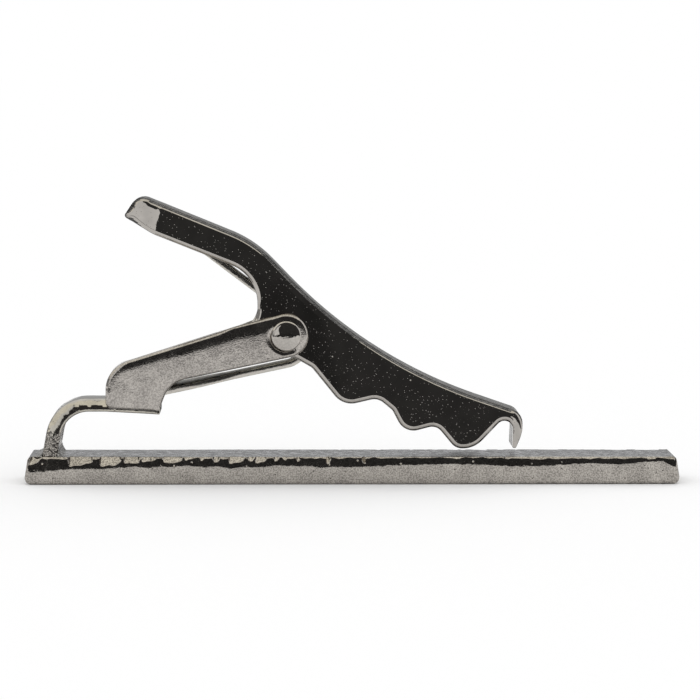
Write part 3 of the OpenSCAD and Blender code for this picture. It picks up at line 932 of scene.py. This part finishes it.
spring_mesh = bmesh.new()
spring_rings = []
for middle, under, over in zip(
    spring_line, shifted(spring_line, -SPRING_THICKNESS / 2), shifted(spring_line, SPRING_THICKNESS / 2)
):
    half = spring_half_width(middle)
    section = []
    for y_side, z_side in ((-1, -1), (1, -1), (1, 1), (-1, 1)):
        start = math.atan2(z_side, y_side) - math.pi / 4
        for k in range(SPRING_EDGE_STEPS + 1):
            turn = start + math.pi / 2 * k / SPRING_EDGE_STEPS
            y = y_side * (half - SPRING_EDGE) + SPRING_EDGE * math.cos(turn)
            up = z_side * (SPRING_THICKNESS / 2 - SPRING_EDGE) + SPRING_EDGE * math.sin(turn)
            spot = under.lerp(over, 0.5 + up / SPRING_THICKNESS)
            section.append(spring_mesh.verts.new((spot.x, y, spot.y)))
    if spring_rings:
        bridge(spring_mesh, spring_rings[-1], section)
    spring_rings.append(section)
spring_mesh.faces.new(spring_rings[0])
spring_mesh.faces.new(spring_rings[-1][::-1])
spring_plating = plated("spring_plating", SPRING_COLOUR, BAR_COLOUR, (0.08, 0.18), [
    ("waves", 1.5, 0.02), ("grain", 0.12, 0.003),
])
spring_piece = finished(spring_mesh, "leaf_spring_strip", spring_plating)
# The strip's top, bottom and edges take the pale flat tones. These are partly the rolled steel's streaked
# finish and partly painted light in the channel's shade.
rolled_flat_painted_light = plated("rolled_spring_flat_painted_light", FLAT_PAINTED_LIGHT_COLOUR, FLAT_PAINTED_LIGHT_LOW_COLOUR, (0.25, 0.4), [
    ("waves", 1.5, 0.02), ("scratches", 0.15, 0.006, 0), ("grain", 0.12, 0.003),
], speckle=0.7, streaks=(0.2, 5))
spring_piece.data.materials.append(rolled_flat_painted_light)
for polygon in spring_piece.data.polygons:
    if abs(polygon.normal.y) < SPRING_SIDE_FACING:
        polygon.material_index = 1
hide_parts("leaf_spring")
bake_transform(spring_piece)

# Jaw lever
# The lever is stamped from thick sheet and folded into a channel, open on the jaw's side.
# Its back runs from the hook over the jaw to the thumb tab; it is polished and plated.
LEVER_WIDTH = 4.4
LEVER_SHEET = 0.75
LEVER_BEND = 0.62
LEVER_RIM = 0.35
LEVER_RIM_EASE = 2.5
LEVER_SPACING = 0.17
NOSE_RIM = 0.5
NOSE_FROM = (-17.6, -18.6)
HOOK_RIM = 0.1
HOOK_FROM_X = 13.2
HOOK_RIM_FROM = 4.2
HOOK_RIM_RUN = 1.6
LEVER_INNER_RIM = 0.15
LEVER_BORE = 0.84
LEVER_SPLAY = 1.2
JAW_SPLAY = 4.0
JAW_SPLAY_FROM = 1.5
JAW_SPLAY_RUN = 5.0
JAW_BACK = [(14.291, 5.911, 1.2), (1.409, 10.342, 40), (-8.224, 20.302, 10), (-17.960, 24.247, 1.15)]
NOSE_EDGE = (-19.169, 22.417, 0.25)
LEVER_OUTLINE = [
    (13.714, 2.979, 0.12), (14.072, 3.819, 1.5), (14.291, 4.554, 1.5), *JAW_BACK, NOSE_EDGE,
    (-16.752, 20.972, 4), (-7.993, 17.506, 3.5), (-7.992, 13.141, 2.2), (-10.478, 12.350, 0.3),
    (-10.084, 11.353, 0.3), (-7.994, 10.798, 1.2), (-4.899, 10.600, 1.2), (-3.442, 9.778, 1),
    (-0.818, 6.550, 1.8), (2.085, 7.209, 1.2), (3.317, 6.197, 0.6), (4.351, 4.230, 1.45),
    (7.015, 4.908, 1), (8.645, 2.950, 1.2), (10.216, 2.950, 2.3), (13.541, 6.388, 0.72),
    (13.416, 2.998, 0.12),
]
HOOK_SPOT = Vector((13.541, 5.45))
NOSE_SPOT = Vector((-18.525, 22.032))
LINING_GAP = 0.05
LINING_HOOK_X = 13.4
LINING_NOSE_X = -10
TIP_SLOPE = math.tan(math.radians(11.5))
TIP_START = Vector((-16.1, 22.4))
TIP_WAY = Vector((-0.97, 0.243))
TIP_RAGGED = 0.15
TIP_BLEND = 0.12
LEVER_CLEARANCE = 0.14
LEVER_COLOUR = (0.46, 0.435, 0.405)
LEVER_SHADE_COLOUR = (0.38, 0.36, 0.335)
BACK_COLOUR = (0.25, 0.243, 0.235)
BACK_SHADE_COLOUR = (0.08, 0.078, 0.075)
BRUSHED_FROM = 0.46
NOSE_BRUSHED_FROM = 0.1

lever_loop = even(rounded(LEVER_OUTLINE), EDGE_SPACING)
hook_mark = nearest(lever_loop, HOOK_SPOT)
nose_mark = nearest(lever_loop, NOSE_SPOT)
nose_run = Vector(NOSE_EDGE[:2]) - Vector(JAW_BACK[-1][:2])
nose_far = Vector(NOSE_EDGE[:2]) + nose_run.normalized() * 2
back_corners = [(14.291, 2.0, 0), *JAW_BACK, (*nose_far, 0)]
back_line = even(rounded(back_corners, closed=False), WALL_SPACING, closed=False)
lining_line = shifted(back_line, LEVER_SHEET)
hook_spot = lever_loop[hook_mark]
nose_spot = lever_loop[nose_mark]
lining_line = [p for p in lining_line if not (p.x > LINING_HOOK_X and p.y < hook_spot.y + LINING_GAP)]
nose_way = nose_run.normalized()
lining_line = [p for p in lining_line if p.x > LINING_NOSE_X or (p - nose_spot).dot(nose_way) < -LINING_GAP]
lever_inner = [hook_spot, *lining_line, nose_spot]
from_lever_back = distance_from(back_line)


def lever_swell(p, inside=False):
    """The cheeks spread towards the jaw's teeth, stay clear of the frame and draw in at the tab's tip."""
    reach = max(0.0, min(1.0, (p.x - PIVOT.x - JAW_SPLAY_FROM) / JAW_SPLAY_RUN))
    reach = reach * reach * (3 - 2 * reach)
    slope = math.tan(math.radians(LEVER_SPLAY + (JAW_SPLAY - LEVER_SPLAY) * reach))
    spread = slope * max(0.0, from_lever_back(p) - LEVER_BEND)
    if p.x < PIVOT.x + JAW_SPLAY_FROM:
        spread = min(spread, LEVER_CLEARANCE)
    into = max(0.0, (p - TIP_START).dot(TIP_WAY))
    begun = max(0.0, min(1.0, (into - TIP_RAGGED * (1 + wander(p.y * 4, 2))) / TIP_BLEND))
    return spread - TIP_SLOPE * into * begun


def at_nose(x):
    """How far a place is onto the tab's rounded nose, from 0 to 1."""
    return max(0.0, min(1.0, (NOSE_FROM[0] - x) / (NOSE_FROM[0] - NOSE_FROM[1])))


lever_rolls = blended_rolls(lever_loop, hook_mark, nose_mark, lambda p: LEVER_BEND, LEVER_RIM, LEVER_RIM_EASE)
lever_rolls = [
    HOOK_RIM + (r - HOOK_RIM) * max(0.0, min(1.0, (p.y - HOOK_RIM_FROM) / HOOK_RIM_RUN))
    if p.x > HOOK_FROM_X else r
    for p, r in zip(lever_loop, lever_rolls)
]
lever_rolls = [max(r, r + (NOSE_RIM - r) * at_nose(p.x)) for p, r in zip(lever_loop, lever_rolls)]
lever_mesh = bmesh.new()
channel(
    lever_mesh, lever_loop, hook_mark, nose_mark, lever_inner, LEVER_WIDTH, LEVER_SHEET,
    lever_rolls, LEVER_INNER_RIM, lever_swell, LEVER_SPACING, LEVER_BORE,
)
lever_plating = plated("lever_plating", LEVER_COLOUR, LEVER_SHADE_COLOUR, (0.02, 0.06), [
    ("waves", 3.0, 0.006), ("grain", 0.12, 0.0012), ("pits", 0.24, 0.008, 0.032), ("pits", 2.2, 0.03, 0.06),
])
lever_piece = finished(lever_mesh, "jaw_lever_stamped", lever_plating)
brushed_back = plated("brushed_lever_back", BACK_COLOUR, BACK_SHADE_COLOUR, (0.14, 0.3), [
    ("waves", 2.0, 0.01), ("lines", 0.26, 0.04), ("grain", 0.1, 0.004),
], speckle=0.6, streaks=(0.15, 5), edge_tint=0.85)
lever_piece.data.materials.append(brushed_back)
round_back = lever_piece.data.attributes["around"].data
for polygon in lever_piece.data.polygons:
    start = BRUSHED_FROM + (NOSE_BRUSHED_FROM - BRUSHED_FROM) * at_nose(polygon.center.x / MM)
    if min(round_back[v].value for v in polygon.vertices) > start * MM:
        polygon.material_index = 1
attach(lever_piece, "jaw_lever")
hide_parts("lever")

# Rivet
# The rivet is a turned pin through both eyes and the lever's ears.
# Each end is headed over the frame's cheek into a low dome with a bevelled rim.
RIVET_SHANK = 0.8
HEAD_PROFILE = [
    (0.82, 0.0), (1.22, 0.0), (1.25, 0.03), (1.25, 0.12), (1.235, 0.16), (1.13, 0.225), (1.09, 0.24),
    (1.055, 0.235), (1.03, 0.25), (0.98, 0.275), (0.85, 0.315), (0.65, 0.352), (0.45, 0.373), (0.3, 0.379),
    (0.0, 0.38),
]
HEAD_SINK = 0.02
RIVET_COLOUR = (0.52, 0.49, 0.455)
RIVET_SHADE_COLOUR = (0.36, 0.34, 0.315)
TURN_STEPS = 96

rivet_mesh = bmesh.new()
rivet_line = [(RIVET_SHANK, 0.0)]
rivet_line += [(r, FRAME_WIDTH / 2 + h - HEAD_SINK * (h == 0)) for r, h in HEAD_PROFILE]
for side in (-1, 1):
    rings = []
    for radius, out in rivet_line:
        ring = []
        for k in range(TURN_STEPS):
            turn = math.tau * k / TURN_STEPS
            ring.append(rivet_mesh.verts.new(
                (PIVOT.x + radius * math.cos(turn), side * out, PIVOT.y + radius * math.sin(turn))))
        if rings:
            bridge(rivet_mesh, rings[-1], ring)
        rings.append(ring)
rivet_plating = plated("rivet_plating", RIVET_COLOUR, RIVET_SHADE_COLOUR, (0.03, 0.08), [
    ("waves", 0.8, 0.018), ("grain", 0.12, 0.002), ("pits", 0.8, 0.03),
], speckle=0.5)
rivet_piece = finished(rivet_mesh, "rivet_headed", rivet_plating, crease=60)
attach(rivet_piece, "clip_base")
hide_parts("rivet")

# Room
# A white floor runs out to a white surround, under one even white light.
# Dark, grey and warm white cards stand outside the pictures, so that the metal has something to mirror.
WHITE = 1.0
FLOOR_COLOUR = (1.0, 1.0, 1.0)
FLOOR_RADIUS = 20.0
FLOOR_LEVEL = -0.02
CARD_DISTANCE = 420
PANEL_LIGHT = 1.1
PANEL_TINT = (1.0, 0.97, 0.88)

floor_mesh = bmesh.new()
floor_spot = Matrix.Translation((0, 0, FLOOR_LEVEL * MM))
bmesh.ops.create_circle(floor_mesh, cap_ends=True, segments=96, radius=FLOOR_RADIUS, matrix=floor_spot)
floor_data = bpy.data.meshes.new("floor")
floor_mesh.to_mesh(floor_data)
floor_mesh.free()
floor_paint = bpy.data.materials.new("floor_paint")
floor_paint.use_nodes = True
floor_paint.node_tree.nodes["Principled BSDF"].inputs["Base Color"].default_value = (*FLOOR_COLOUR, 1)
floor_paint.node_tree.nodes["Principled BSDF"].inputs["Roughness"].default_value = 1.0
floor_paint.node_tree.nodes["Principled BSDF"].inputs["Specular IOR Level"].default_value = 0.0
floor_data.materials.append(floor_paint)
floor = bpy.data.objects.new("floor", floor_data)
bpy.context.scene.collection.objects.link(floor)


def card(name, corners, strength, tint=(1, 1, 1), steps=12):
    """A curved card on the surround, given by (bearing from the front, elevation) corners in degrees."""
    mesh = bmesh.new()
    left_low, right_low, right_high, left_high = corners
    rows = []
    for i in range(steps + 1):
        row = []
        for j in range(steps + 1):
            u, v = i / steps, j / steps
            low = Vector(left_low).lerp(Vector(right_low), u)
            high = Vector(left_high).lerp(Vector(right_high), u)
            bearing, elevation = (math.radians(a) for a in low.lerp(high, v))
            out = CARD_DISTANCE * MM
            row.append(mesh.verts.new((
                out * math.sin(bearing) * math.cos(elevation),
                -out * math.cos(bearing) * math.cos(elevation),
                out * math.sin(elevation))))
        rows.append(row)
    for row, other in zip(rows, rows[1:]):
        bridge(mesh, row, other, closed=False)
    unseen(mesh, name, strength, tint)


def unseen(mesh, name, strength, tint=(1, 1, 1)):
    """A glowing or dark card that only reflections see."""
    data = bpy.data.meshes.new(name)
    mesh.to_mesh(data)
    mesh.free()
    paint = bpy.data.materials.new(name)
    paint.use_nodes = True
    paint.node_tree.nodes.clear()
    glow = paint.node_tree.nodes.new("ShaderNodeEmission")
    glow.inputs["Color"].default_value = (*tint, 1)
    glow.inputs["Strength"].default_value = strength
    out = paint.node_tree.nodes.new("ShaderNodeOutputMaterial")
    paint.node_tree.links.new(glow.outputs[0], out.inputs[0])
    data.materials.append(paint)
    piece = bpy.data.objects.new(name, data)
    bpy.context.scene.collection.objects.link(piece)
    piece.visible_camera = False
    piece.visible_diffuse = False
    piece.visible_shadow = False


card("front_card", [(-14, 0.0), (60, 0.0), (75, 100), (-60, 100)], 0.045, steps=24)
card("back_strip", [(110, 0.3), (250, 0.3), (250, 24), (110, 24)], 0.40)
card("left_card", [(-110, 0.3), (-50, 0.3), (-52, 20), (-108, 20)], 0.35)
card("left_panel", [(-118, 20), (-52, 20), (-55, 66), (-118, 66)], PANEL_LIGHT, PANEL_TINT)


def flat_card(name, low, high, level, strength, tint=(1, 1, 1)):
    """A level card between two corners, at one height."""
    mesh = bmesh.new()
    corners = [(low[0], low[1]), (high[0], low[1]), (high[0], high[1]), (low[0], high[1])]
    mesh.faces.new([mesh.verts.new((x * MM, y * MM, level * MM)) for x, y in corners])
    unseen(mesh, name, strength, tint)


flat_card("table_card", (-330, -CARD_DISTANCE), (330, -110), 0.2, 0.03)
flat_card("top_panel", (-130, -110), (130, 20), 170, PANEL_LIGHT, PANEL_TINT)
flat_card("rear_card", (-40, 22), (-5, 110), 0.2, 0.05)

world = bpy.data.worlds.new("surround")
bpy.context.scene.world = world
world.use_nodes = True
world.node_tree.nodes["Background"].inputs["Color"].default_value = (WHITE, WHITE, WHITE, 1)
world.node_tree.nodes["Background"].inputs["Strength"].default_value = 1.0

# Camera
# The camera stands a quarter of a metre in front of the clip, a little above it, with a long lens.
# Its place was worked out from the bar's edges in the photograph.
CAMERA_PLACE = Vector((-6.474, -252.75, 34.400))
CAMERA_AIM = Vector((-0.203, 0, 11.070))
CAMERA_ROLL = 0.12
CAMERA_LENS = 154.635

camera_data = bpy.data.cameras.new("camera")
camera_data.lens = CAMERA_LENS
camera_data.sensor_width = 36.0
camera_data.clip_start = 0.01
camera_data.clip_end = 10
camera = bpy.data.objects.new("camera", camera_data)
bpy.context.scene.collection.objects.link(camera)
ahead = (CAMERA_AIM - CAMERA_PLACE).normalized()
level = ahead.cross(Vector((0, 0, 1))).normalized()
above = level.cross(ahead)
roll = math.radians(CAMERA_ROLL)
across = level * math.cos(roll) + above * math.sin(roll)
upward = above * math.cos(roll) - level * math.sin(roll)
camera.matrix_world = Matrix.Translation(CAMERA_PLACE * MM) @ Matrix(
    (across, upward, -ahead)).transposed().to_4x4()
bpy.context.scene.camera = camera
bpy.context.scene.view_settings.view_transform = "Standard"
